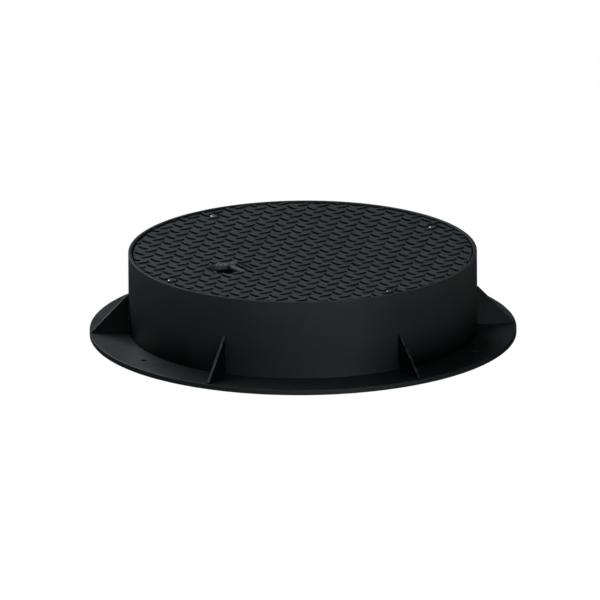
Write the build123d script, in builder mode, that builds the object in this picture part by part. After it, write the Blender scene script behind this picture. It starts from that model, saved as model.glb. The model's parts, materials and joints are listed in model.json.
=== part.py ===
from build123d import *
import math
import os

os.makedirs("parts", exist_ok=True)

# A bolted access cover: a round floor-plate lid in a skirted frame with a gusseted base flange.
# Millimetres, +Z up. The origin is the centre of the base flange's underside.
# The lid bolts lie on the X and Y axes, and the lift pocket lies on -X.

inch = 25.4

# Frame: skirt, flange and gussets
frame_height = 6 * inch
skirt_radius = 12.25 * inch
skirt_wall = 0.25 * inch
skirt_inner_radius = skirt_radius - skirt_wall
rim_edge_break = 0.8
flange_radius = 15 * inch
flange_thickness = 0.375 * inch
flange_edge_break = 0.8
anchor_count = 6
anchor_circle_radius = 342.0
anchor_hole_radius = 7 / 32 * inch
gusset_count = 6
gusset_first_angle = 29.3
gusset_thickness = 4.0
gusset_height = 70.2
gusset_toe_radius = 378.5
gusset_nose = 2.0

# Lid plate and its tread
lid_radius = 11.875 * inch
plate_thickness = 0.5 * inch
plate_recess = 2.9
plate_top = frame_height - plate_recess
plate_bottom = plate_top - plate_thickness
tread_pitch = 25.3
lug_half_length = 12.7
lug_half_width = 3.0
lug_end_half_width = 0.85
lug_height = 2.6
lug_overhang = 4.0

# Ledge that carries the lid
gasket_thickness = 5.0
gasket_outer_radius = lid_radius - 1.0
gasket_inner_radius = 287.5
seat_thickness = 8.0
seat_inner_radius = 267.0
seat_top = plate_bottom - gasket_thickness
seat_bottom = seat_top - seat_thickness

# Lid bolts
bolt_count = 4
bolt_circle_radius = 281.0
shank_radius = 3 / 16 * inch
shank_length = 1.375 * inch
shank_chamfer = 1.0
bolt_hole_radius = 5.5
thread_clearance = 0.06
boss_radius = 12.5
boss_height = 20.0
head_flats = 9 / 16 * inch
head_height = 6.0
head_flat_radius = 6.8
head_chamfer_angle = 30.0
washer_radius = 10.0
washer_hole_radius = 5.0
washer_thickness = 2.0
counterbore_radius = 12.0
counterbore_depth = head_height + washer_thickness

# Lift pocket
pocket_x = -162.3
pocket_radius = 34.5
slot_half_length = 27.5
slot_outboard_x = -148.5
slot_inboard_x = -125.4
rebate_inboard_x = -122.2
rebate_depth = 4.3
bar_radius = 0.25 * inch
bar_x = -137.3
bar_top_recess = 3.2
bar_z = plate_top - bar_top_recess - bar_radius
cup_x = -158.0
cup_inner_radius = 47.5
cup_wall = 3.0
cup_outer_radius = cup_inner_radius + cup_wall
cup_lip_radius = cup_outer_radius + 6.0
cup_depth = 38.0
cup_bottom_fillet = 14.0
cup_lip_fillet = 2.0

# Stiffening grid under the plate
rib_depth = 50.0
rib_thickness = 0.375 * inch
rib_offset = 89.0
rib_reach = 247.0
rib_snipe = 18.0
rib_half_length = math.sqrt(rib_reach**2 - rib_offset**2)
rib_bottom = plate_bottom - rib_depth


def radial_plane(angle):
    """Upright plane through the frame's axis: local x runs outward at this angle, local y is up."""
    turn = math.radians(angle)
    outward = (math.cos(turn), math.sin(turn), 0)
    normal = (math.sin(turn), -math.cos(turn), 0)
    return Plane(origin=(0, 0, 0), x_dir=outward, z_dir=normal)


def bolt_plane(index, height):
    """Level plane centred on one lid bolt at this height."""
    turn = 2 * math.pi * index / bolt_count
    centre_x = bolt_circle_radius * math.cos(turn)
    centre_y = bolt_circle_radius * math.sin(turn)
    return Plane(origin=(centre_x, centre_y, height))


# Frame: rolled skirt, welded on top of the base flange
with BuildPart() as skirt_ring:
    with BuildSketch(Plane.XY.offset(flange_thickness)):
        Circle(skirt_radius)
        Circle(skirt_inner_radius, mode=Mode.SUBTRACT)
    extrude(amount=frame_height - flange_thickness)
    chamfer(skirt_ring.edges().group_by(Axis.Z)[-1], length=rim_edge_break)
skirt_ring.part.label = "skirt_ring"
export_step(skirt_ring.part, "parts/skirt_ring.step")

with BuildPart() as base_flange:
    with BuildSketch():
        Circle(flange_radius)
        Circle(skirt_inner_radius, mode=Mode.SUBTRACT)
        with PolarLocations(anchor_circle_radius, anchor_count):
            Circle(anchor_hole_radius, mode=Mode.SUBTRACT)
    extrude(amount=flange_thickness)
    outer_rim = base_flange.edges().filter_by(GeomType.CIRCLE).group_by(SortBy.RADIUS)[-1]
    chamfer(outer_rim, length=flange_edge_break)
base_flange.part.label = "base_flange"
export_step(base_flange.part, "parts/base_flange.step")

# Six triangular gussets, each about midway between two anchor holes
for index in range(gusset_count):
    gusset_angle = gusset_first_angle + index * 360 / gusset_count
    with BuildPart() as gusset:
        with BuildSketch(radial_plane(gusset_angle)):
            with BuildLine():
                Polyline(
                    (skirt_radius, flange_thickness),
                    (gusset_toe_radius, flange_thickness),
                    (gusset_toe_radius, flange_thickness + gusset_nose),
                    (skirt_radius + gusset_nose, flange_thickness + gusset_height),
                    (skirt_radius, flange_thickness + gusset_height),
                    close=True,
                )
            make_face()
        extrude(amount=gusset_thickness / 2, both=True)
    gusset.part.label = f"gusset_{index + 1}"
    export_step(gusset.part, f"parts/gusset_{index + 1}.step")

# Ledge ring inside the skirt, drilled for the lid bolts
with BuildPart() as seat_ring:
    with BuildSketch(Plane.XY.offset(seat_bottom)):
        Circle(skirt_inner_radius)
        Circle(seat_inner_radius, mode=Mode.SUBTRACT)
        with PolarLocations(bolt_circle_radius, bolt_count):
            Circle(bolt_hole_radius, mode=Mode.SUBTRACT)
    extrude(amount=seat_thickness)
seat_ring.part.label = "seat_ring"
export_step(seat_ring.part, "parts/seat_ring.step")

with BuildPart() as lid_gasket:
    with BuildSketch(Plane.XY.offset(seat_top)):
        Circle(gasket_outer_radius)
        Circle(gasket_inner_radius, mode=Mode.SUBTRACT)
    extrude(amount=gasket_thickness)
lid_gasket.part.label = "lid_gasket"
export_step(lid_gasket.part, "parts/lid_gasket.step")

# Tapped bosses, welded under the ledge; the thread is a plain bore of running clearance
for index in range(bolt_count):
    with BuildPart() as bolt_boss:
        with BuildSketch(bolt_plane(index, seat_bottom - boss_height)):
            Circle(boss_radius)
            Circle(shank_radius + thread_clearance, mode=Mode.SUBTRACT)
        extrude(amount=boss_height)
    bolt_boss.part.label = f"bolt_boss_{index + 1}"
    export_step(bolt_boss.part, f"parts/bolt_boss_{index + 1}.step")

# One tread lug: a slim lens along X with blunt ends, standing on the plate
with BuildPart() as tread_lug:
    with BuildSketch(Plane.XY.offset(plate_top)):
        with BuildLine():
            far_left = (-lug_half_length, lug_end_half_width)
            far_right = (lug_half_length, lug_end_half_width)
            near_right = (lug_half_length, -lug_end_half_width)
            near_left = (-lug_half_length, -lug_end_half_width)
            ThreePointArc(far_left, (0, lug_half_width), far_right)
            Line(far_right, near_right)
            ThreePointArc(near_right, (0, -lug_half_width), near_left)
            Line(near_left, far_left)
        make_face()
    extrude(amount=lug_height)

# Lugs stand on a square grid with the lid's centre in the middle of a cell, and turn a right
# angle from each cell to the next
lugs_along_x = []
lugs_along_y = []
cells = math.ceil(lid_radius / tread_pitch) + 1
for column in range(-cells, cells):
    for row in range(-cells, cells):
        lug_x = (column + 0.5) * tread_pitch
        lug_y = (row + 0.5) * tread_pitch
        if math.hypot(lug_x, lug_y) > lid_radius + lug_overhang:
            continue
        if (column + row) % 2:
            lugs_along_x.append((lug_x, lug_y))
        else:
            lugs_along_y.append((lug_x, lug_y))

# Lid plate: the tread is sheared off at the lid's edge, the pocket and the counterbores
with BuildPart() as lid_plate:
    with BuildSketch(Plane.XY.offset(plate_bottom)):
        Circle(lid_radius + 2 * tread_pitch)
    extrude(amount=plate_thickness)
    with Locations(*lugs_along_x):
        add(tread_lug.part)
    with Locations(*lugs_along_y):
        add(tread_lug.part, rotation=(0, 0, 90))
    with BuildSketch(Plane.XY.offset(plate_bottom)):
        Circle(lid_radius)
    extrude(amount=plate_thickness + lug_height, mode=Mode.INTERSECT)
    with BuildSketch(Plane.XY.offset(plate_bottom)):
        with Locations((pocket_x, 0)):
            Circle(pocket_radius)
        with Locations(((slot_outboard_x + slot_inboard_x) / 2, 0)):
            Rectangle(slot_inboard_x - slot_outboard_x, 2 * slot_half_length)
    extrude(amount=plate_thickness + lug_height, mode=Mode.SUBTRACT)
    with BuildSketch(Plane.XY.offset(plate_top - rebate_depth)):
        with Locations(((slot_outboard_x + rebate_inboard_x) / 2, 0)):
            Rectangle(rebate_inboard_x - slot_outboard_x, 2 * slot_half_length)
    extrude(amount=rebate_depth + lug_height, mode=Mode.SUBTRACT)
    with Locations((0, 0, plate_top + lug_height)):
        with PolarLocations(bolt_circle_radius, bolt_count):
            CounterBoreHole(bolt_hole_radius, counterbore_radius, counterbore_depth + lug_height)
lid_plate.part.label = "lid_plate"
export_step(lid_plate.part, "parts/lid_plate.step")

# Pressed cup, welded by its lip to the underside of the plate
with BuildPart() as lift_cup:
    with BuildSketch(Plane(origin=(cup_x, 0, plate_bottom), x_dir=(1, 0, 0), z_dir=(0, -1, 0))):
        with BuildLine():
            FilletPolyline(
                (0, -cup_depth - cup_wall),
                (cup_outer_radius, -cup_depth - cup_wall),
                (cup_outer_radius, -cup_wall),
                (cup_lip_radius, -cup_wall),
                radius=[cup_bottom_fillet + cup_wall, cup_lip_fillet],
            )
            Polyline(
                (cup_lip_radius, -cup_wall),
                (cup_lip_radius, 0),
                (cup_inner_radius, 0),
            )
            FilletPolyline(
                (cup_inner_radius, 0),
                (cup_inner_radius, -cup_depth),
                (0, -cup_depth),
                radius=cup_bottom_fillet,
            )
            Line((0, -cup_depth), (0, -cup_depth - cup_wall))
        make_face()
    revolve(axis=Axis((cup_x, 0, 0), (0, 0, 1)))
lift_cup.part.label = "lift_cup"
export_step(lift_cup.part, "parts/lift_cup.step")

# Round lift bar, welded between the two ends of the slot
with BuildPart() as lift_bar:
    with BuildSketch(Plane.XZ.offset(-slot_half_length)):
        with Locations((bar_x, bar_z)):
            Circle(bar_radius)
    extrude(amount=2 * slot_half_length)
lift_bar.part.label = "lift_bar"
export_step(lift_bar.part, "parts/lift_bar.step")

# Two long ribs along Y, with their free corners cut back
for index, side in enumerate((-1, 1)):
    with BuildPart() as rib_long:
        with BuildSketch(Plane.YZ.offset(side * rib_offset)):
            with BuildLine():
                Polyline(
                    (-rib_half_length, plate_bottom),
                    (-rib_half_length, rib_bottom + rib_snipe),
                    (-rib_half_length + rib_snipe, rib_bottom),
                    (rib_half_length - rib_snipe, rib_bottom),
                    (rib_half_length, rib_bottom + rib_snipe),
                    (rib_half_length, plate_bottom),
                    close=True,
                )
            make_face()
        extrude(amount=rib_thickness / 2, both=True)
    rib_long.part.label = f"rib_long_{index + 1}"
    export_step(rib_long.part, f"parts/rib_long_{index + 1}.step")

# Two middle ribs along X, between the long ones
rib_face_x = rib_offset - rib_thickness / 2
for index, side in enumerate((-1, 1)):
    with BuildPart() as rib_mid:
        with BuildSketch(Plane.XY.offset(rib_bottom)):
            with Locations((0, side * rib_offset)):
                Rectangle(2 * rib_face_x, rib_thickness)
        extrude(amount=rib_depth)
    rib_mid.part.label = f"rib_mid_{index + 1}"
    export_step(rib_mid.part, f"parts/rib_mid_{index + 1}.step")

# Four end ribs along X, from the long ribs outward
rib_root_x = rib_offset + rib_thickness / 2
rib_corners = [(-1, -1), (1, -1), (1, 1), (-1, 1)]
for index, (side_x, side_y) in enumerate(rib_corners):
    with BuildPart() as rib_end:
        with BuildSketch(Plane.XZ.offset(-side_y * rib_offset)):
            with BuildLine():
                Polyline(
                    (side_x * rib_root_x, plate_bottom),
                    (side_x * rib_root_x, rib_bottom),
                    (side_x * (rib_half_length - rib_snipe), rib_bottom),
                    (side_x * rib_half_length, rib_bottom + rib_snipe),
                    (side_x * rib_half_length, plate_bottom),
                    close=True,
                )
            make_face()
        extrude(amount=rib_thickness / 2, both=True)
    rib_end.part.label = f"rib_end_{index + 1}"
    export_step(rib_end.part, f"parts/rib_end_{index + 1}.step")

# Sealing washers and hex bolts; a bolt's head is flush with the plate between the lugs
washer_bottom = plate_top - counterbore_depth
head_bottom = washer_bottom + washer_thickness
head_corner_radius = head_flats / math.sqrt(3)
chamfer_reach = head_corner_radius + 1.0 - head_flat_radius
chamfer_drop = chamfer_reach * math.tan(math.radians(head_chamfer_angle))
for index in range(bolt_count):
    with BuildPart() as washer:
        with BuildSketch(bolt_plane(index, washer_bottom)):
            Circle(washer_radius)
            Circle(washer_hole_radius, mode=Mode.SUBTRACT)
        extrude(amount=washer_thickness)
    washer.part.label = f"washer_{index + 1}"
    export_step(washer.part, f"parts/washer_{index + 1}.step")

    head_plane = bolt_plane(index, head_bottom)
    bolt_axis = Axis(head_plane.origin, (0, 0, 1))
    upright = Plane(origin=head_plane.origin, x_dir=(1, 0, 0), z_dir=(0, -1, 0))
    with BuildPart() as bolt:
        with BuildSketch(head_plane):
            RegularPolygon(head_corner_radius, 6)
        extrude(amount=head_height)
        with BuildSketch(upright):
            with BuildLine():
                Polyline(
                    (head_flat_radius, head_height),
                    (head_flat_radius + chamfer_reach, head_height),
                    (head_flat_radius + chamfer_reach, head_height - chamfer_drop),
                    close=True,
                )
            make_face()
        revolve(axis=bolt_axis, mode=Mode.SUBTRACT)
        with BuildSketch(head_plane):
            Circle(shank_radius)
        extrude(amount=-shank_length)
        chamfer(bolt.edges().group_by(Axis.Z)[0], length=shank_chamfer)
    bolt.part.label = f"bolt_{index + 1}"
    export_step(bolt.part, f"parts/bolt_{index + 1}.step")
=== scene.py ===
import json
import math

import bmesh
import bpy
from mathutils import Matrix, Vector


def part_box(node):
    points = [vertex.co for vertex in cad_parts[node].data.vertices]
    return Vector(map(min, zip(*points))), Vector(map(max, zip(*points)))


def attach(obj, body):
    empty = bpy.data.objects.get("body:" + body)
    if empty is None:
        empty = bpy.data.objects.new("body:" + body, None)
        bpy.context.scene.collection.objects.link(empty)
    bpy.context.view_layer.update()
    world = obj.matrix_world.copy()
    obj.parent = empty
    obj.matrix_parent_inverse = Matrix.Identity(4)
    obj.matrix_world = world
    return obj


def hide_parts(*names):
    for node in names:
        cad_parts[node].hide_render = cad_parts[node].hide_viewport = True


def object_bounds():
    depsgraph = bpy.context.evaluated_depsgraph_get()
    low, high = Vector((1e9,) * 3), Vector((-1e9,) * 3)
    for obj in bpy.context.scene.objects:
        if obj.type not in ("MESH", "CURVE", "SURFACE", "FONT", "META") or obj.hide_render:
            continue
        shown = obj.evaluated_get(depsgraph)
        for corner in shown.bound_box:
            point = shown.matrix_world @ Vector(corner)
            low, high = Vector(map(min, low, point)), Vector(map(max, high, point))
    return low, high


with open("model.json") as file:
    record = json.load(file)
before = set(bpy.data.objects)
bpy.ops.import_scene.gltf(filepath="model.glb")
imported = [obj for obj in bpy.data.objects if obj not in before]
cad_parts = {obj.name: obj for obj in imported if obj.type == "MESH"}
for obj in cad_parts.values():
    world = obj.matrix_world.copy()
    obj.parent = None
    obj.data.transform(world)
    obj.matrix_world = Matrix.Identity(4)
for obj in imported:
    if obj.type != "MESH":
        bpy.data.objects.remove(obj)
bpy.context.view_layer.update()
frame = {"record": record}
MM = 0.001

# The view: nearly level, from the lid's pocket side, through a long lens
VIEW_AZIMUTH = -123.95
VIEW_ELEVATION = 17.0
VIEW_ROLL = -0.376
VIEW_WIDTH_PER_FLANGE = 1.4048
VIEW_RIGHT_PER_FLANGE = -0.0068
VIEW_UP_PER_FLANGE = -0.0183
VIEW_DISTANCE = 4.0

# How finely round shapes and rounded edges are divided
ROUND_SEGMENTS = 256
POCKET_SEGMENTS = 128
BOLT_PLACE_SEGMENTS = 64
SMALL_HOLE_SEGMENTS = 40
CORNER_STEPS = 3
BEVEL_STEPS = 2
SMOOTH_UP_TO = math.radians(40)

# Roundings that the CAD leaves out
SHEARED_EDGE = 0.4 * MM
ROLLED_EDGE = 0.9 * MM

# Lid plate and its tread, as in the CAD
PLATE_THICKNESS = 12.7 * MM
TREAD_PITCH = 25.3 * MM
LUG_HALF_LENGTH = 12.7 * MM
LUG_HALF_WIDTH = 3.0 * MM
LUG_END_HALF_WIDTH = 0.85 * MM
LUG_OVERHANG = 4.0 * MM
LUG_ARC_STEPS = 9

# Lift pocket, as in the CAD
POCKET_X = -162.3 * MM
POCKET_RADIUS = 34.5 * MM


def outward(azimuth, elevation=0):
    """Unit vector from the object towards this azimuth (0 is +X, 90 is +Y) and elevation."""
    turn = math.radians(azimuth)
    rise = math.radians(elevation)
    return Vector((math.cos(turn) * math.cos(rise), math.sin(turn) * math.cos(rise), math.sin(rise)))


def reach(node):
    """(radius, bottom, top) of a round node centred on the frame's axis."""
    lowest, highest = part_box(node)
    return (highest.y - lowest.y) / 2, lowest.z, highest.z


low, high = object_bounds()
flange_width = high.x - low.x
middle = (low + high) / 2
flange_bottom, flange_top = (corner.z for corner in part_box("base_flange"))
lid_radius, plate_bottom, lug_top = reach("lid_plate")
plate_top = plate_bottom + PLATE_THICKNESS


def add_camera():
    data = bpy.data.cameras.new("camera")
    data.type = "ORTHO"
    data.ortho_scale = VIEW_WIDTH_PER_FLANGE * flange_width
    camera = bpy.data.objects.new("camera", data)
    bpy.context.collection.objects.link(camera)
    back = outward(VIEW_AZIMUTH, VIEW_ELEVATION)
    turned = (-back).to_track_quat("-Z", "Y").to_matrix()
    aim = middle + turned @ Vector((VIEW_RIGHT_PER_FLANGE, VIEW_UP_PER_FLANGE, 0)) * flange_width
    roll = Matrix.Rotation(math.radians(VIEW_ROLL), 3, "Z")
    camera.matrix_world = Matrix.Translation(aim + back * VIEW_DISTANCE) @ (turned @ roll).to_4x4()
    bpy.context.scene.camera = camera


add_camera()


# ---------------------------------------------------------------- materials

COATING_DARK = (0.0180, 0.0226, 0.0238)
COATING_LIGHT = (0.0212, 0.0266, 0.0280)
COATING_ROUGH = 0.42
# The lid's coating is the frame's black paint, painted lighter as if better lit
LID_LIT_DARK = (0.0334, 0.0420, 0.0441)
LID_LIT_LIGHT = (0.0388, 0.0485, 0.0508)
LID_ROUGH = 0.465
BLACK = (0, 0, 0)
ORANGE_PEEL = 0.05

# Wear: the height over which it sets in; for the painted shade and painted light on upright faces, how far up
# upright and level faces look (1 is straight up)
WEAR_FADE = 2 * MM
UPRIGHT_TO_LEVEL = (0.2, 0.8)

# Painted shade round the skirt's foot, lifted on the side towards the front lamps
FOOT_SHADE_REACH = 65 * MM
FOOT_LIT_AZIMUTH = 234
FOOT_LIT_FROM_TO = (230 * MM, 302 * MM)

# Painted shade at the foot of the lugs: its share on those along Y and along X, how far it lies beside a lug,
# and where it fades out up a lug's side, over the plate's edge and past a lug's ends (in pitches)
LUG_SHADE_ALONG_Y_AND_X = (1.0, 0.4)
LUG_SHADE_FULL = 1.5 * MM
LUG_SHADE_REACH = 4.5 * MM
LUG_SHADE_FADE_UP = (0.9 * MM, 2.1 * MM)
LUG_SHADE_FADE_DOWN = (-0.6 * MM, -0.2 * MM)
LUG_SHADE_FADE_ENDS = (0.44, 0.5)

# A pale spot at the pocket's rim, rubbed where a hook's heel rests and painted bright as a glint
GLINT_RADIUS = 5.0 * MM
GLINT_AZIMUTH = 199
GLINT_SET_BACK = 1.5 * MM
GLINT_FADE = 2 * MM
GLINT_SPOT = Vector((POCKET_X, 0, lug_top)) + outward(GLINT_AZIMUTH) * (POCKET_RADIUS + GLINT_SET_BACK)

# The pocket's wall: the depths between which hooks' scrapes set in, and the span over which it turns
# from painted shade, near black, to painted light and rubbed, in pocket radii from the pocket's middle along
# X
HOOKED_DEPTHS = (9 * MM, 3 * MM)
LIT_AND_SCRAPED_ACROSS = (-0.6, 0.2)


class Wiring:
    """A node tree being wired up, with short calls for the nodes used here."""

    def __init__(self, tree):
        self.tree = tree

    def node(self, kind, **settings):
        made = self.tree.nodes.new(kind)
        for key, value in settings.items():
            setattr(made, key, value)
        return made

    def feed(self, value, socket):
        """Links a node's output to the socket, or sets the socket to a plain value."""
        if isinstance(value, bpy.types.NodeSocket):
            self.tree.links.new(value, socket)
        else:
            socket.default_value = value

    def place(self):
        """The point on the object, in metres."""
        return self.node("ShaderNodeTexCoord").outputs["Object"]

    def split(self, vector):
        """The vector's X, Y and Z, by name."""
        made = self.node("ShaderNodeSeparateXYZ")
        self.feed(vector, made.inputs["Vector"])
        return made.outputs

    def between(self, value, from_low, from_high, to_low, to_high):
        made = self.node("ShaderNodeMapRange")
        self.feed(value, made.inputs["Value"])
        self.feed(from_low, made.inputs["From Min"])
        self.feed(from_high, made.inputs["From Max"])
        self.feed(to_low, made.inputs["To Min"])
        self.feed(to_high, made.inputs["To Max"])
        return made.outputs["Result"]

    def math(self, operation, *values):
        made = self.node("ShaderNodeMath", operation=operation)
        for socket, value in zip(made.inputs, values):
            self.feed(value, socket)
        return made.outputs["Value"]

    def chain(self, operation, values):
        """All of the values put together by one operation, such as their product."""
        total = values[0]
        for value in values[1:]:
            total = self.math(operation, total, value)
        return total

    def measure(self, operation, *vectors):
        """One number from one or two vectors, such as their distance."""
        made = self.node("ShaderNodeVectorMath", operation=operation)
        for socket, vector in zip(made.inputs, vectors):
            self.feed(vector, socket)
        return made.outputs["Value"]

    def white_to_camera(self, felt):
        """Strength 1 where the camera looks straight at it, and felt where it lights the object."""
        path = self.node("ShaderNodeLightPath")
        strength = self.node("ShaderNodeMix")
        self.feed(path.outputs["Is Camera Ray"], strength.inputs["Factor"])
        self.feed(felt, strength.inputs["A"])
        self.feed(1.0, strength.inputs["B"])
        return strength.outputs["Result"]


class Shader(Wiring):
    """A Principled material being wired up."""

    def __init__(self, name):
        self.material = bpy.data.materials.new(name)
        self.material.use_nodes = True
        super().__init__(self.material.node_tree)
        self.coords = self.place()

    def surface(self, name, value):
        """Links or sets one of the Principled shader's own sockets."""
        self.feed(value, self.tree.nodes["Principled BSDF"].inputs[name])

    def facing(self):
        """The way the surface faces."""
        return self.node("ShaderNodeNewGeometry").outputs["Normal"]

    def stretched(self, scale):
        mapping = self.node("ShaderNodeMapping")
        self.feed(self.coords, mapping.inputs["Vector"])
        self.feed(scale, mapping.inputs["Scale"])
        return mapping.outputs["Vector"]

    def noise(self, scale, detail=2.0, vector=None):
        made = self.node("ShaderNodeTexNoise")
        self.feed(scale, made.inputs["Scale"])
        self.feed(detail, made.inputs["Detail"])
        self.feed(vector or self.coords, made.inputs["Vector"])
        return made.outputs["Fac"]

    def mix(self, share, first, second):
        made = self.node("ShaderNodeMix", data_type="RGBA")
        self.feed(share, made.inputs["Factor"])
        colours = [socket for socket in made.inputs if socket.type == "RGBA"]
        for socket, value in zip(colours, (first, second)):
            self.feed((*value, 1) if isinstance(value, tuple) else value, socket)
        return next(socket for socket in made.outputs if socket.type == "RGBA")

    def worn_edges(self, radius):
        """1 on outer edges, broken up by noise, and 0 on flat surfaces."""
        bevel = self.node("ShaderNodeBevel", samples=4)
        self.feed(radius, bevel.inputs["Radius"])
        flatness = self.measure("DOT_PRODUCT", bevel.outputs["Normal"], self.facing())
        edge = self.between(flatness, 0.995, 0.9, 0, 1)
        breakup = self.between(self.noise(160.0, 3.0), 0.42, 0.62, 0, 1)
        return self.math("MULTIPLY", edge, breakup)

    def bump(self, height, strength, distance, under=None):
        made = self.node("ShaderNodeBump")
        self.feed(strength, made.inputs["Strength"])
        self.feed(distance, made.inputs["Distance"])
        self.feed(height, made.inputs["Height"])
        if under is not None:
            self.feed(under, made.inputs["Normal"])
        return made.outputs["Normal"]


def lug_foot_shade(shader, place):
    """Painted shade: 1 on the foot of each lug and the plate next to it, down to 0 on open plate and the
    lugs' tops.

    Lengths in the plate are in pitches here, so that each lug is in the middle of a cell of 1 by 1.
    """
    cells = [shader.math("DIVIDE", place[axis], TREAD_PITCH) for axis in "XY"]
    starts = [shader.math("FLOOR", cell) for cell in cells]
    along_x = shader.math("FLOORED_MODULO", shader.math("ADD", *starts), 2)
    off_x, off_y = (
        shader.math("ABSOLUTE", shader.math("SUBTRACT", shader.math("SUBTRACT", cell, start), 0.5))
        for cell, start in zip(cells, starts)
    )
    swap = shader.math("MULTIPLY", along_x, shader.math("SUBTRACT", off_y, off_x))
    across = shader.math("ADD", off_x, swap)
    along = shader.math("SUBTRACT", off_y, swap)
    taper = (LUG_HALF_WIDTH - LUG_END_HALF_WIDTH) * TREAD_PITCH / LUG_HALF_LENGTH**2
    narrowing = shader.math("MULTIPLY", shader.math("MULTIPLY", along, along), taper)
    beside = shader.math("ADD", across, narrowing)
    full, clear = ((LUG_HALF_WIDTH + width) / TREAD_PITCH for width in (LUG_SHADE_FULL, LUG_SHADE_REACH))
    above_plate = shader.math("SUBTRACT", place["Z"], plate_top)
    shares = [
        shader.between(along_x, 0, 1, *LUG_SHADE_ALONG_Y_AND_X),
        shader.between(beside, full, clear, 1, 0),
        shader.between(above_plate, *LUG_SHADE_FADE_UP, 1, 0),
        shader.between(above_plate, *LUG_SHADE_FADE_DOWN, 0, 1),
        shader.between(along, *LUG_SHADE_FADE_ENDS, 1, 0),
    ]
    return shader.chain("MULTIPLY", shares)


def coated_steel(
    name,
    dark=COATING_DARK,
    light=COATING_LIGHT,
    rough=COATING_ROUGH,
    wear=0.35,
    wear_reach=0.9 * MM,
    wear_above=-WEAR_FADE,
    bare=4.0,
    upright_painted_light=0.0,
    upright_shade=1.0,
    foot_shade=1.0,
    tread=False,
):
    """Satin black coating with orange peel, a little uneven in tone and gloss.

    Edges above wear_above are rubbed by the share wear towards bare times the light tone, and
    upright faces are painted lighter, as lit, by at least a given share of that. Painted shade
    darkens upright faces to upright_shade and low ones to foot_shade, except on the side towards
    the front lamps, and dims their gloss. On the tread, painted shade lies at the foot of the
    lugs, and a spot at the pocket's rim is rubbed and painted bright as a glint.
    """
    shader = Shader(name)
    place = shader.split(shader.coords)
    facing = shader.split(shader.facing())
    patches = shader.between(shader.noise(9.0, 4.0), 0.35, 0.65, 0, 1)
    tone = shader.mix(patches, dark, light)

    # Painted shade on upright faces, low down and at the lugs' foot, darkening the tone and dimming the gloss
    shades = []
    if upright_shade < 1:
        shades.append(shader.between(facing["Z"], *UPRIGHT_TO_LEVEL, upright_shade, 1))
    # Painted shade low down, lifted on the side towards the front lamps
    if foot_shade < 1:
        low_down = shader.between(place["Z"], flange_top, flange_top + FOOT_SHADE_REACH, 1, 0)
        to_lit_side = shader.measure("DOT_PRODUCT", shader.coords, outward(FOOT_LIT_AZIMUTH))
        foot_shaded_share = shader.between(to_lit_side, *FOOT_LIT_FROM_TO, 1 - foot_shade, 0)
        shades.append(shader.math("SUBTRACT", 1, shader.math("MULTIPLY", low_down, foot_shaded_share)))
    # Painted shade at the foot of the lugs
    if tread:
        shades.append(shader.math("SUBTRACT", 1, lug_foot_shade(shader, place)))
    if shades:
        shade = shader.chain("MULTIPLY", shades)
        tone = shader.mix(shade, BLACK, tone)
        shader.surface("Specular IOR Level", shader.math("MULTIPLY", shade, 0.5))

    rubbed = [shader.worn_edges(wear_reach)]
    # Upright faces painted lighter, as lit
    if upright_painted_light:
        rubbed.append(shader.between(facing["Z"], *UPRIGHT_TO_LEVEL, upright_painted_light, 0))
    # A spot at the pocket's rim rubbed and painted bright as a glint
    if tread:
        from_glint = shader.measure("DISTANCE", shader.coords, GLINT_SPOT)
        rubbed.append(shader.between(from_glint, GLINT_RADIUS - GLINT_FADE, GLINT_RADIUS, 1 / wear, 0))
    within_reach = shader.between(place["Z"], wear_above, wear_above + WEAR_FADE, 0, wear)
    share = shader.math("MULTIPLY", shader.chain("MAXIMUM", rubbed), within_reach)
    worn_tone = tuple(bare * value for value in light)
    shader.surface("Base Color", shader.mix(share, tone, worn_tone))

    shader.surface("Roughness", shader.between(shader.noise(22.0, 5.0), 0.3, 0.7, rough - 0.04, rough + 0.05))
    fine = shader.bump(shader.noise(1400.0), ORANGE_PEEL, 0.25 * MM)
    shader.surface("Normal", shader.bump(shader.noise(120.0), ORANGE_PEEL, 0.6 * MM, fine))
    return shader.material


def pocket_wall_lit_and_shaded(name, black, dark, light, bare, rough):
    """The coating on the lift pocket's wall: painted light grey as lit on the bar's side, painted shade near
    black on the outboard side, and rubbed through in spots.
    """
    shader = Shader(name)
    place = shader.split(shader.coords)
    patches = shader.between(shader.noise(60.0, 4.0), 0.35, 0.65, 0, 1)
    grey = shader.mix(patches, dark, light)
    scrapes = shader.between(shader.noise(1.0, 3.0, shader.stretched((330, 330, 180))), 0.47, 0.57, 0, 1)
    heights = (plate_top - depth for depth in HOOKED_DEPTHS)
    near_top = shader.between(place["Z"], *heights, 0, 1)
    limits = (POCKET_X + share * POCKET_RADIUS for share in LIT_AND_SCRAPED_ACROSS)
    lit_and_scraped = shader.between(place["X"], *limits, 0, 1)
    streaks = shader.chain("MULTIPLY", [scrapes, near_top, lit_and_scraped])
    # Painted light where lit, painted shade near black on the outboard side, with the scrapes over both
    shader.surface("Base Color", shader.mix(streaks, shader.mix(lit_and_scraped, black, grey), bare))
    shader.surface("Roughness", shader.between(streaks, 0, 1, rough, rough - 0.1))
    shader.surface("Normal", shader.bump(streaks, 0.15, 0.15 * MM))
    return shader.material


def bare_steel(name, dark, light, rough, stretch, grain):
    """Bare machined steel with fine drawn lines along one axis."""
    shader = Shader(name)
    lines = shader.noise(1.0, 4.0, shader.stretched(stretch))
    tone = shader.mix(shader.between(lines, 0.3, 0.7, 0, 1), dark, light)
    shader.surface("Base Color", tone)
    shader.surface("Metallic", 1.0)
    shader.surface("Roughness", shader.between(lines, 0.3, 0.7, rough - 0.06, rough + 0.08))
    shader.surface("Normal", shader.bump(lines, grain, 0.1 * MM))
    return shader.material


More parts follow.
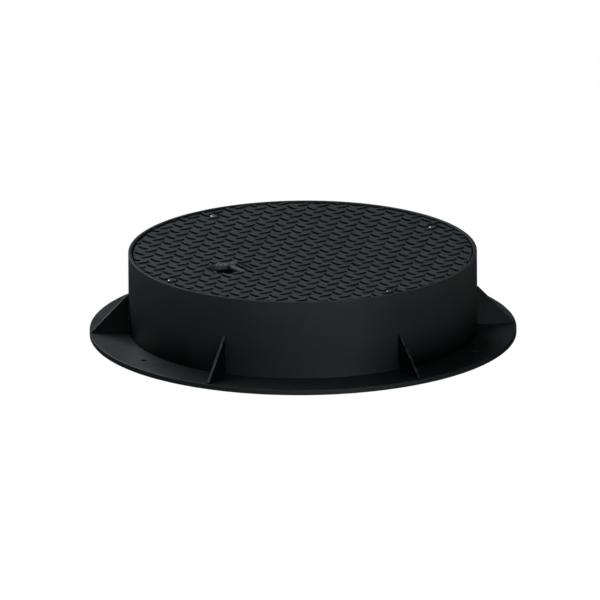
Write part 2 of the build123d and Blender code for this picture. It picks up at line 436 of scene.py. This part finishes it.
def rubber(name, dark, light):
    """Matte rubber with a faint bloom."""
    shader = Shader(name)
    bloom = shader.between(shader.noise(35.0, 4.0), 0.35, 0.7, 0, 1)
    shader.surface("Base Color", shader.mix(bloom, dark, light))
    shader.surface("Roughness", shader.between(bloom, 0, 1, 0.7, 0.85))
    shader.surface("Normal", shader.bump(shader.noise(900.0), 0.08, 0.2 * MM))
    return shader.material


frame_coating = coated_steel("frame_coating")
# Upright faces of the flange painted lighter, as lit
flange_coating = coated_steel("flange_coating", upright_painted_light=0.7)
# Painted shade low on the skirt, lifted on the side towards the front lamps
skirt_coating = coated_steel("skirt_coating", foot_shade=0.06)
# Gussets: upright faces painted dark as shade, the one facing the front lamps painted lighter as lit; edges
# above the flange made pale, eleven times the light tone
gusset_coatings = {
    state: coated_steel(
        f"{state}_gusset_coating",
        wear=1.0,
        wear_reach=2 * MM,
        wear_above=flange_top + MM,
        bare=11.0,
        upright_shade=shade,
    )
    for state, shade in (("shaded_face", 0.25), ("lit_face", 0.6))
}
# The lid: painted lighter than the frame, as lit; painted shade on its upright faces and at the lugs' foot; a
# spot at the pocket's rim rubbed and painted bright as a glint
lid_coating = coated_steel("lid_coating", LID_LIT_DARK, LID_LIT_LIGHT, LID_ROUGH, upright_shade=0.7, tread=True)
cup_coating = coated_steel("cup_coating")
rib_coating = coated_steel("rib_coating")
# Pocket wall: painted light grey as lit, and painted shade near black on its outboard side
pocket_lit_and_shaded_coating = pocket_wall_lit_and_shaded(
    "pocket_lit_and_shaded_coating",
    black=(0.05, 0.056, 0.058),
    dark=(0.18, 0.2, 0.204),
    light=(0.25, 0.274, 0.28),
    bare=(0.62, 0.62, 0.61),
    rough=0.45,
)
bar_steel = bare_steel(
    "bar_steel",
    dark=(0.062, 0.064, 0.065),
    light=(0.088, 0.09, 0.091),
    rough=0.62,
    stretch=(900, 30, 900),
    grain=0.12,
)
bolt_steel = bare_steel(
    "bolt_steel",
    dark=(0.5, 0.5, 0.49),
    light=(0.68, 0.68, 0.66),
    rough=0.28,
    stretch=(700, 120, 700),
    grain=0.1,
)
washer_steel = bare_steel(
    "washer_steel",
    dark=(0.35, 0.35, 0.35),
    light=(0.5, 0.5, 0.49),
    rough=0.35,
    stretch=(500, 500, 200),
    grain=0.1,
)
gasket_rubber = rubber("gasket_rubber", (0.012, 0.012, 0.012), (0.024, 0.024, 0.024))


# ---------------------------------------------------------------- mesh helpers

UP = Vector((0, 0, 1))
NEARLY_STRAIGHT = math.radians(170)
ON_THE_AXIS = 1e-7


def as_object(bm, name):
    bmesh.ops.recalc_face_normals(bm, faces=bm.faces)
    mesh = bpy.data.meshes.new(name)
    bm.to_mesh(mesh)
    bm.free()
    made = bpy.data.objects.new(name, mesh)
    bpy.context.collection.objects.link(made)
    return made


def finish_piece(bm, name, materials, body, slot, *nodes):
    """The mesh as a shown piece that rides on its body, with these CAD nodes hidden."""
    piece = as_object(bm, name)
    for material in materials if isinstance(materials, list) else [materials]:
        piece.data.materials.append(material)
    piece.data.polygons.foreach_set("use_smooth", [True] * len(piece.data.polygons))
    piece.data.set_sharp_from_angle(angle=SMOOTH_UP_TO)
    flat_faces = piece.modifiers.new("flat_faces", "WEIGHTED_NORMAL")
    flat_faces.keep_sharp = True
    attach(piece, body)
    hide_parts(*nodes)


def joined(*parts):
    """One bmesh that holds all of these, each as its own shell."""
    whole = bmesh.new()
    for part in parts:
        mesh = bpy.data.meshes.new("part")
        part.to_mesh(mesh)
        part.free()
        whole.from_mesh(mesh)
        bpy.data.meshes.remove(mesh)
    return whole


def carved(bm, operation, *cutters):
    """bm after an exact boolean with each cutter in turn."""
    target = as_object(bm, "carve_target")
    tools = [as_object(cutter, "carve_tool") for cutter in cutters]
    for tool in tools:
        step = target.modifiers.new("carve", "BOOLEAN")
        step.operation = operation
        step.solver = "EXACT"
        step.object = tool
    depsgraph = bpy.context.evaluated_depsgraph_get()
    mesh = bpy.data.meshes.new_from_object(target.evaluated_get(depsgraph))
    result = bmesh.new()
    result.from_mesh(mesh)
    bpy.data.meshes.remove(mesh)
    for item in (target, *tools):
        shape = item.data
        bpy.data.objects.remove(item)
        bpy.data.meshes.remove(shape)
    return result


def rounded(points, radius):
    """A closed outline of 2-D points with every corner rounded by this radius, less on short sides."""
    made = []
    count = len(points)
    for index, point in enumerate(points):
        here = Vector(point)
        before = Vector(points[index - 1]) - here
        after = Vector(points[(index + 1) % count]) - here
        corner = before.angle(after)
        if corner > NEARLY_STRAIGHT:
            made.append(tuple(here))
            continue
        back = radius / math.tan(corner / 2)
        back = min(back, 0.45 * before.length, 0.45 * after.length)
        start = here + before.normalized() * back
        end = here + after.normalized() * back
        for step in range(CORNER_STEPS + 1):
            share = step / CORNER_STEPS
            curve = start * (1 - share) ** 2 + here * 2 * share * (1 - share) + end * share**2
            made.append(tuple(curve))
    return made


def lathe(profile, centre=(0, 0), segments=ROUND_SEGMENTS):
    """A closed profile of (radius, height) turned round an upright axis. Radius 0 is a point on it."""
    bm = bmesh.new()
    rings = []
    for radius, height in profile:
        if radius < ON_THE_AXIS:
            rings.append([bm.verts.new((centre[0], centre[1], height))] * segments)
            continue
        ring = []
        for index in range(segments):
            turn = 2 * math.pi * index / segments
            spot = (centre[0] + radius * math.cos(turn), centre[1] + radius * math.sin(turn), height)
            ring.append(bm.verts.new(spot))
        rings.append(ring)
    for ring, following in zip(rings, rings[1:] + rings[:1]):
        for index in range(segments):
            after = (index + 1) % segments
            corners = [ring[index], ring[after], following[after], following[index]]
            distinct = list(dict.fromkeys(corners))
            if len(distinct) > 2:
                bm.faces.new(distinct)
    return bm


def skin(bm, rings):
    """Closes a stack of rings of vertices into a solid, with its sides and both ends."""
    count = len(rings[0])
    for ring, following in zip(rings, rings[1:]):
        for index in range(count):
            after = (index + 1) % count
            bm.faces.new((ring[index], ring[after], following[after], following[index]))
    bm.faces.new(list(reversed(rings[0])))
    bm.faces.new(rings[-1])


def plate(outline, origin, along, up, thickness, edge):
    """A flat plate: outline in the along and up directions, thickness centred on the outline's plane."""
    bm = bmesh.new()
    across = along.cross(up).normalized()
    faces = []
    for side in (-0.5, 0.5):
        spots = [origin + along * u + up * v + across * thickness * side for u, v in outline]
        faces.append(bm.faces.new([bm.verts.new(spot) for spot in spots]))
    first, second = (list(face.verts) for face in faces)
    for index in range(len(first)):
        after = (index + 1) % len(first)
        bm.faces.new((first[index], first[after], second[after], second[index]))
    bmesh.ops.recalc_face_normals(bm, faces=bm.faces)
    if edge:
        round_edges(bm, bm.edges[:], edge)
    return bm


def round_edges(bm, edges, radius):
    bmesh.ops.bevel(bm, geom=edges, offset=radius, segments=BEVEL_STEPS, affect="EDGES", profile=0.5)


def soften(bm, radius, sharper_than):
    """Rounds the edges between faces that meet at more than this angle."""
    round_edges(bm, [e for e in bm.edges if e.is_manifold and e.calc_face_angle() > sharper_than], radius)


def disc(radius, bottom, top, centre=(0, 0), segments=ROUND_SEGMENTS):
    return lathe([(0, bottom), (radius, bottom), (radius, top), (0, top)], centre, segments)


def block(lowest, highest):
    bm = bmesh.new()
    bmesh.ops.create_cube(bm, size=1)
    span = Vector(highest) - Vector(lowest)
    centre = (Vector(highest) + Vector(lowest)) / 2
    for vertex in bm.verts:
        vertex.co = Vector(co * size for co, size in zip(vertex.co, span)) + centre
    return bm


def ring_profile(inner, outer, bottom, top, edge):
    corners = [(inner, bottom), (outer, bottom), (outer, top), (inner, top)]
    return rounded(corners, edge)


# ---------------------------------------------------------------- frame

GUSSET_COUNT = 6
GUSSET_FIRST_ANGLE = 29.3
GUSSET_THICKNESS = 4.0 * MM
GUSSET_TOE = 378.5 * MM
GUSSET_NOSE = 2.0 * MM
GUSSET_OVERLAP = 0.4 * MM
# The gusset whose upright faces are painted lighter, as lit by the front lamps
LIT_GUSSET = 5
ANCHOR_LIP = 0.5 * MM
CUTTER_MARGIN = 2 * MM
SEAT_INNER_RADIUS = 267.0 * MM
GASKET_INNER_RADIUS = 287.5 * MM
GASKET_EDGE = 1.2 * MM
BOLT_HOLE_RADIUS = 5.5 * MM
BOLT_BORE_RADIUS = 4.8225 * MM
BOSS_EDGE = 0.8 * MM

skirt_radius, skirt_foot, rim_top = reach("skirt_ring")
seat_radius, seat_bottom, seat_top = reach("seat_ring")
gasket_radius, gasket_bottom, gasket_top = reach("lid_gasket")
flange_radius = min(-low.x, high.x, -low.y, high.y)
bolt_spots = []
for index in range(4):
    lowest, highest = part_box(f"bolt_{index + 1}")
    bolt_spots.append(((lowest.x + highest.x) / 2, (lowest.y + highest.y) / 2))


def flange():
    """The base flange, with its anchor holes just chamfered at the top."""
    anchors = next(mount for mount in frame["record"]["mounts"] if mount["name"] == "anchor_holes")["dims"]
    circle = anchors["pcd_mm"] / 2 * MM
    hole = anchors["hole_r_mm"] * MM
    profile = [
        (0, flange_bottom - CUTTER_MARGIN),
        (hole, flange_bottom - CUTTER_MARGIN),
        (hole, flange_top - ANCHOR_LIP),
        (hole + ANCHOR_LIP + CUTTER_MARGIN, flange_top + CUTTER_MARGIN),
        (0, flange_top + CUTTER_MARGIN),
    ]
    cutters = []
    for index in range(anchors["count"]):
        turn = 2 * math.pi * index / anchors["count"]
        spot = (circle * math.cos(turn), circle * math.sin(turn))
        cutters.append(lathe(profile, spot, SMALL_HOLE_SEGMENTS))
    section = ring_profile(seat_radius, flange_radius, flange_bottom, flange_top, ROLLED_EDGE)
    return carved(lathe(section), "DIFFERENCE", *cutters)


def gusset(index):
    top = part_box(f"gusset_{index + 1}")[1].z
    root = skirt_radius - GUSSET_OVERLAP
    outline = [
        (root, flange_top),
        (GUSSET_TOE, flange_top),
        (GUSSET_TOE, flange_top + GUSSET_NOSE),
        (skirt_radius + GUSSET_NOSE, top),
        (root, top),
    ]
    out = outward(GUSSET_FIRST_ANGLE + 360 / GUSSET_COUNT * index)
    return plate(outline, Vector((0, 0, 0)), out, UP, GUSSET_THICKNESS, SHEARED_EDGE)


def seat():
    """The ledge that carries the lid, with clearance holes for the bolts."""
    section = ring_profile(SEAT_INNER_RADIUS, seat_radius, seat_bottom, seat_top, SHEARED_EDGE)
    holes = [
        disc(BOLT_HOLE_RADIUS, seat_bottom - MM, seat_top + MM, spot, SMALL_HOLE_SEGMENTS)
        for spot in bolt_spots
    ]
    return carved(lathe(section), "DIFFERENCE", *holes)


def boss(node, spot):
    lowest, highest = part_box(node)
    radius = (highest.x - lowest.x) / 2
    section = ring_profile(BOLT_BORE_RADIUS, radius, lowest.z, highest.z, BOSS_EDGE)
    return lathe(section, spot, BOLT_PLACE_SEGMENTS)


skirt_profile = ring_profile(seat_radius, skirt_radius, skirt_foot, rim_top, ROLLED_EDGE)
finish_piece(lathe(skirt_profile), "skirt", skirt_coating, "frame", "frame_coating", "skirt_ring")
finish_piece(flange(), "flange", flange_coating, "frame", "frame_coating", "base_flange")
for index in range(GUSSET_COUNT):
    node = f"gusset_{index + 1}"
    coating = gusset_coatings["lit_face" if index == LIT_GUSSET else "shaded_face"]
    finish_piece(gusset(index), f"gusset_plate_{index + 1}", coating, "frame", "frame_coating", node)
finish_piece(seat(), "seat", frame_coating, "frame", "frame_coating", "seat_ring")
for index, spot in enumerate(bolt_spots):
    node = f"bolt_boss_{index + 1}"
    finish_piece(boss(node, spot), f"boss_{index + 1}", frame_coating, "frame", "frame_coating", node)
gasket_profile = ring_profile(GASKET_INNER_RADIUS, gasket_radius, gasket_bottom, gasket_top, GASKET_EDGE)
finish_piece(lathe(gasket_profile), "gasket", gasket_rubber, "frame", "gasket_rubber", "lid_gasket")


# ---------------------------------------------------------------- lid plate and its tread

SLOT_HALF_LENGTH = 27.5 * MM
SLOT_INBOARD_X = -125.4 * MM
REBATE_INBOARD_X = -122.2 * MM
REBATE_DEPTH = 4.3 * MM
COUNTERBORE_RADIUS = 12.0 * MM
COUNTERBORE_DEPTH = 8.0 * MM
PLATE_EDGE = 0.3 * MM
LUG_ROOT = 0.3 * MM
LUG_EDGE = 0.12 * MM
LUG_GAP = 0.3 * MM
LUG_SKIN = 5 * MM
PLATE_SKIN = 6 * MM


def plate_cutters(gap, skin):
    """The pocket, slot, rebate and counterbores, each larger by gap and standing skin clear of the plate."""
    below = plate_bottom - skin
    above = lug_top + skin
    half_length = SLOT_HALF_LENGTH + gap
    rebate_floor = plate_top - REBATE_DEPTH
    cutters = [
        disc(POCKET_RADIUS + gap, below, above, (POCKET_X, 0), POCKET_SEGMENTS),
        block((POCKET_X, -half_length, below), (SLOT_INBOARD_X + gap, half_length, above)),
        block((POCKET_X + gap, -half_length, rebate_floor), (REBATE_INBOARD_X + gap, half_length, above)),
    ]
    for spot in bolt_spots:
        profile = [
            (0, below),
            (BOLT_HOLE_RADIUS, below),
            (BOLT_HOLE_RADIUS, plate_top - COUNTERBORE_DEPTH),
            (COUNTERBORE_RADIUS + gap, plate_top - COUNTERBORE_DEPTH),
            (COUNTERBORE_RADIUS + gap, above),
            (0, above),
        ]
        cutters.append(lathe(profile, spot, BOLT_PLACE_SEGMENTS))
    return cutters


def lens(inset):
    """A lug's outline, moved inwards by inset: two shallow arcs along X, blunt where they end."""
    rise = LUG_HALF_WIDTH - LUG_END_HALF_WIDTH
    radius = (LUG_HALF_LENGTH**2 + rise**2) / (2 * rise)
    end = LUG_HALF_LENGTH - inset
    points = []
    for side in (1, -1):
        for step in range(LUG_ARC_STEPS + 1):
            x = end * (2 * step / LUG_ARC_STEPS - 1)
            y = LUG_HALF_WIDTH - radius + math.sqrt((radius - inset) ** 2 - x**2)
            points.append((side * x, side * y))
    return points


lug_height = lug_top - plate_top
lug_levels = [
    (lens(0.0), -LUG_ROOT),
    (lens(0.0), lug_height - LUG_EDGE),
    (lens(LUG_EDGE / 3), lug_height - LUG_EDGE / 3),
    (lens(LUG_EDGE), lug_height),
]


def add_lug(bm, spot, along_y):
    """One lug at this spot, pointing along Y or X."""
    rings = []
    for outline, height in lug_levels:
        ring = []
        for x, y in outline:
            u, v = (-y, x) if along_y else (x, y)
            ring.append(bm.verts.new((spot[0] + u, spot[1] + v, plate_top + height)))
        rings.append(ring)
    skin(bm, rings)


def meets_a_cut(x, y):
    """True if a lug here may cross the lid's edge, the pocket or a counterbore."""
    span = LUG_HALF_LENGTH + MM
    if math.hypot(x, y) > lid_radius - span:
        return True
    near_x = max(POCKET_X - POCKET_RADIUS - x, x - REBATE_INBOARD_X, 0)
    near_y = max(abs(y) - POCKET_RADIUS, 0)
    if math.hypot(near_x, near_y) < span:
        return True
    return any(math.hypot(x - cx, y - cy) < COUNTERBORE_RADIUS + span for cx, cy in bolt_spots)


def on_pocket_wall(face):
    """True on the upright faces round the pocket and at the ends of its slot."""
    near = 0.5 * MM
    spot = face.calc_center_median()
    on_circle = abs(math.hypot(spot.x - POCKET_X, spot.y) - POCKET_RADIUS) < near
    on_slot_end = abs(abs(spot.y) - SLOT_HALF_LENGTH) < near and POCKET_X < spot.x < REBATE_INBOARD_X
    return (on_circle or on_slot_end) and abs(face.normal.z) < 0.9


def tread_plate():
    """The plate with its openings, and its lugs, some of them cut by an opening or the lid's edge."""
    whole_lugs = bmesh.new()
    cut_lugs = bmesh.new()
    cells = math.ceil(lid_radius / TREAD_PITCH) + 1
    for column in range(-cells, cells):
        for row in range(-cells, cells):
            x = (column + 0.5) * TREAD_PITCH
            y = (row + 0.5) * TREAD_PITCH
            if math.hypot(x, y) > lid_radius + LUG_OVERHANG:
                continue
            group = cut_lugs if meets_a_cut(x, y) else whole_lugs
            add_lug(group, (x, y), along_y=(column + row) % 2 == 0)
    rim_cutter = disc(lid_radius - LUG_GAP, plate_top - LUG_SKIN, lug_top + LUG_SKIN)
    cut_lugs = carved(cut_lugs, "INTERSECT", rim_cutter)
    cut_lugs = carved(cut_lugs, "DIFFERENCE", *plate_cutters(LUG_GAP, LUG_SKIN))
    slab = carved(disc(lid_radius, plate_bottom, plate_top), "DIFFERENCE", *plate_cutters(0, PLATE_SKIN))
    soften(slab, PLATE_EDGE, sharper_than=math.radians(30))
    # The pocket's wall and the slot's ends take the pocket coating, with its painted light and shade
    for face in slab.faces:
        if on_pocket_wall(face):
            face.material_index = 1
    return joined(slab, whole_lugs, cut_lugs)


finish_piece(tread_plate(), "tread_plate", [lid_coating, pocket_lit_and_shaded_coating], "lid", "lid_coating", "lid_plate")


# ---------------------------------------------------------------- cup, bar and ribs

CUP_X = -158.0 * MM
CUP_WALL = 3.0 * MM
CUP_LIP = 6.0 * MM
CUP_FILLET = 14.0 * MM
CUP_THROAT = 2.0 * MM
CUP_LIP_EDGE = 0.4 * MM
CUP_MOUTH_EDGE = 0.6 * MM
CUP_FILLET_STEPS = 10
CUP_THROAT_STEPS = 4
BAR_EDGE = 0.3 * MM
BAR_SEGMENTS = 48
RIB_SNIPE = 18.0 * MM
RIB_EDGE = 0.6 * MM


def arc_points(centre, radius, start, end, steps):
    """Points on an arc in the profile plane, angles in degrees from outwards to up."""
    points = []
    for step in range(steps + 1):
        turn = math.radians(start + (end - start) * step / steps)
        points.append((centre[0] + radius * math.cos(turn), centre[1] + radius * math.sin(turn)))
    return points


def cup():
    """A pressed cup with a flat lip, its wall in section from the bottom's outside round to its inside."""
    lowest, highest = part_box("lift_cup")
    lip = (highest.y - lowest.y) / 2
    outer = lip - CUP_LIP
    inner = outer - CUP_WALL
    floor_top = lowest.z + CUP_WALL
    lip_top = highest.z
    lip_under = lip_top - CUP_WALL
    bend = (inner - CUP_FILLET, floor_top + CUP_FILLET)
    throat = (outer + CUP_THROAT, lip_under - CUP_THROAT)
    profile = [
        (0, lowest.z),
        *arc_points(bend, CUP_FILLET + CUP_WALL, -90, 0, CUP_FILLET_STEPS),
        *arc_points(throat, CUP_THROAT, 180, 90, CUP_THROAT_STEPS),
        (lip - CUP_LIP_EDGE, lip_under),
        (lip, lip_under + CUP_LIP_EDGE),
        (lip, lip_top - CUP_LIP_EDGE),
        (lip - CUP_LIP_EDGE, lip_top),
        (inner + CUP_MOUTH_EDGE, lip_top),
        (inner, lip_top - CUP_MOUTH_EDGE),
        *arc_points(bend, CUP_FILLET, 0, -90, CUP_FILLET_STEPS),
        (0, floor_top),
    ]
    return lathe(profile, (CUP_X, 0), POCKET_SEGMENTS)


def lift_bar():
    """A plain rod along Y with its ends just chamfered."""
    lowest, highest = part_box("lift_bar")
    radius = (highest.z - lowest.z) / 2
    half = (highest.y - lowest.y) / 2
    profile = [
        (0, -half),
        (radius - BAR_EDGE, -half),
        (radius, -half + BAR_EDGE),
        (radius, half - BAR_EDGE),
        (radius - BAR_EDGE, half),
        (0, half),
    ]
    bar = lathe(profile, (0, 0), BAR_SEGMENTS)
    bmesh.ops.rotate(bar, verts=bar.verts, cent=(0, 0, 0), matrix=Matrix.Rotation(math.radians(90), 3, "X"))
    bmesh.ops.translate(bar, verts=bar.verts, vec=(lowest + highest) / 2)
    return bar


def rib(node, sniped_ends):
    """A flat bar on edge with the CAD node's extents, its listed ends cut back at the bottom."""
    lowest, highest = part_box(node)
    lengthways = 0 if highest.x - lowest.x > highest.y - lowest.y else 1
    start = lowest[lengthways]
    end = highest[lengthways]
    bottom = lowest.z
    top = highest.z
    outline = [(start, top)]
    if -1 in sniped_ends:
        outline += [(start, bottom + RIB_SNIPE), (start + RIB_SNIPE, bottom)]
    else:
        outline += [(start, bottom)]
    if 1 in sniped_ends:
        outline += [(end - RIB_SNIPE, bottom), (end, bottom + RIB_SNIPE)]
    else:
        outline += [(end, bottom)]
    outline += [(end, top)]
    along = Vector((1, 0, 0)) if lengthways == 0 else Vector((0, 1, 0))
    centre = (lowest + highest) / 2
    centre[lengthways] = 0
    centre.z = 0
    thickness = min(highest.x - lowest.x, highest.y - lowest.y)
    return plate(outline, centre, along, UP, thickness, RIB_EDGE)


finish_piece(cup(), "cup", cup_coating, "lid", "cup_coating", "lift_cup")
finish_piece(lift_bar(), "bar", bar_steel, "lid", "bare_bar", "lift_bar")
rib_nodes = {"rib_long_1": (-1, 1), "rib_long_2": (-1, 1), "rib_mid_1": (), "rib_mid_2": ()}
for index in range(4):
    side = 1 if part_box(f"rib_end_{index + 1}")[0].x > 0 else -1
    rib_nodes[f"rib_end_{index + 1}"] = (side,)
for node, sniped_ends in rib_nodes.items():
    finish_piece(rib(node, sniped_ends), f"{node}_bar", rib_coating, "lid", "rib_coating", node)


# ---------------------------------------------------------------- bolts and washers

HEAD_HEIGHT = 6.0 * MM
HEAD_FLATS = 14.2875 * MM
HEAD_FACE_RADIUS = 6.8 * MM
HEAD_FACE_BAND = 0.5 * MM
HEAD_CHAMFER = math.radians(30)
HEAD_CHAMFER_SEGMENTS = 72
HEAD_EDGE = 0.18 * MM
SHANK_RADIUS = 4.7625 * MM
SHANK_OVERLAP = 0.2 * MM
SHANK_SEGMENTS = 28
THREAD_PITCH = 1.5875 * MM
THREAD_DEPTH = 0.85 * MM
THREAD_FLAT = 0.12
THREAD_ROWS_PER_PITCH = 6
TIP_SLOPE = 0.7
WASHER_HOLE_RADIUS = 5.0 * MM
WASHER_EDGE = 0.35 * MM


def hex_head(spot, bottom, top):
    """A hex prism with its top corners turned off in a cone."""
    corner = HEAD_FLATS / math.sqrt(3)
    turns = [math.radians(60 * side) for side in range(6)]
    outline = [(corner * math.cos(turn), corner * math.sin(turn)) for turn in turns]
    centre = Vector((*spot, (bottom + top) / 2))
    prism = plate(outline, centre, Vector((1, 0, 0)), Vector((0, 1, 0)), top - bottom, 0)
    wide = corner + MM
    profile = [
        (0, bottom - MM),
        (wide, bottom - MM),
        (wide, top - (wide - HEAD_FACE_RADIUS) * math.tan(HEAD_CHAMFER)),
        (HEAD_FACE_RADIUS, top),
        (HEAD_FACE_RADIUS - HEAD_FACE_BAND, top),
        (0, top),
    ]
    head = carved(prism, "INTERSECT", lathe(profile, spot, HEAD_CHAMFER_SEGMENTS))
    soften(head, HEAD_EDGE, sharper_than=math.radians(25))
    return head


def threaded_shank(spot, bottom, top):
    """A rod whose surface rises and falls with a helix, with a pointed run-out at its foot."""
    bm = bmesh.new()
    rows = int((top - bottom) / (THREAD_PITCH / THREAD_ROWS_PER_PITCH))
    rings = []
    for row in range(rows + 1):
        height = bottom + (top - bottom) * row / rows
        ring = []
        for index in range(SHANK_SEGMENTS):
            share = index / SHANK_SEGMENTS
            phase = (height / THREAD_PITCH - share) % 1.0
            fall = (abs(phase - 0.5) * 2 - THREAD_FLAT) / (1 - 2 * THREAD_FLAT)
            depth = THREAD_DEPTH * max(0.0, min(1.0, fall))
            tip = max(0.0, THREAD_PITCH - (height - bottom))
            radius = min(SHANK_RADIUS - depth, SHANK_RADIUS - tip * TIP_SLOPE)
            turn = 2 * math.pi * share
            corner = (spot[0] + radius * math.cos(turn), spot[1] + radius * math.sin(turn), height)
            ring.append(bm.verts.new(corner))
        rings.append(ring)
    skin(bm, rings)
    return bm


def bolt(node, spot):
    lowest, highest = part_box(node)
    head_bottom = highest.z - HEAD_HEIGHT
    head = hex_head(spot, head_bottom, highest.z)
    return joined(head, threaded_shank(spot, lowest.z, head_bottom + SHANK_OVERLAP))


def washer(node, spot):
    lowest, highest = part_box(node)
    radius = (highest.x - lowest.x) / 2
    section = ring_profile(WASHER_HOLE_RADIUS, radius, lowest.z, highest.z, WASHER_EDGE)
    return lathe(section, spot, BOLT_PLACE_SEGMENTS)


for index, spot in enumerate(bolt_spots):
    node = f"bolt_{index + 1}"
    finish_piece(bolt(node, spot), f"hex_{node}", bolt_steel, node, "bolt_steel", node)
    node = f"washer_{index + 1}"
    finish_piece(washer(node, spot), f"ring_{node}", washer_steel, node, "washer_steel", node)


# ---------------------------------------------------------------- stage

FLOOR_SIZE = 30.0
FLOOR_DROP = 0.5 * MM
FLOOR_DIM_TO_BRIGHT = (0.8, 1.5)
FLOOR_GLOW_NEAR_AND_FAR = (0.01, 0.74)
LAMP_COLOUR = (0.92, 1.0, 1.02)
LAMP_DISTANCE = 8.0


def add_floor():
    """A floor that is white to the camera and lights the object only from further away."""
    half = FLOOR_SIZE / 2
    corners = [(-half, -half, 0), (half, -half, 0), (half, half, 0), (-half, half, 0)]
    mesh = bpy.data.meshes.new("floor")
    mesh.from_pydata(corners, [], [(0, 1, 2, 3)])
    floor = bpy.data.objects.new("floor", mesh)
    bpy.context.collection.objects.link(floor)
    floor.location.z = low.z - FLOOR_DROP
    white = bpy.data.materials.new("floor_white")
    white.use_nodes = True
    wiring = Wiring(white.node_tree)
    from_middle = wiring.measure("LENGTH", wiring.place())
    glow = wiring.between(from_middle, *FLOOR_DIM_TO_BRIGHT, *FLOOR_GLOW_NEAR_AND_FAR)
    emission = wiring.node("ShaderNodeEmission")
    wiring.feed(wiring.white_to_camera(glow), emission.inputs["Strength"])
    wiring.feed(emission.outputs["Emission"], wiring.tree.nodes["Material Output"].inputs["Surface"])
    mesh.materials.append(white)


def add_sky():
    """A world that is white to the camera and lights nothing."""
    world = bpy.data.worlds.new("world")
    world.use_nodes = True
    wiring = Wiring(world.node_tree)
    sky = wiring.tree.nodes["Background"]
    wiring.feed((1, 1, 1, 1), sky.inputs["Color"])
    wiring.feed(wiring.white_to_camera(0.0), sky.inputs["Strength"])
    bpy.context.scene.world = world


def add_lamp(name, azimuth, elevation, size, power):
    data = bpy.data.lights.new(name, "AREA")
    data.shape = "DISK"
    data.size = size
    data.energy = power
    data.color = LAMP_COLOUR
    lamp = bpy.data.objects.new(name, data)
    bpy.context.collection.objects.link(lamp)
    toward = outward(azimuth, elevation)
    lamp.location = middle + toward * LAMP_DISTANCE
    lamp.rotation_euler = toward.to_track_quat("Z", "Y").to_euler()


add_floor()
add_lamp("key", 99, 45, 8.0, 400)
add_lamp("top", 146, 70, 8.0, 53)
add_lamp("low_back", 84, 19, 5.0, 36)
add_lamp("front_left", 206, 5, 5.0, 20)
add_lamp("front", 236, 5, 5.0, 84)
add_lamp("front_right", 266, 5, 5.0, 150)
add_sky()
bpy.context.scene.view_settings.view_transform = "Standard"
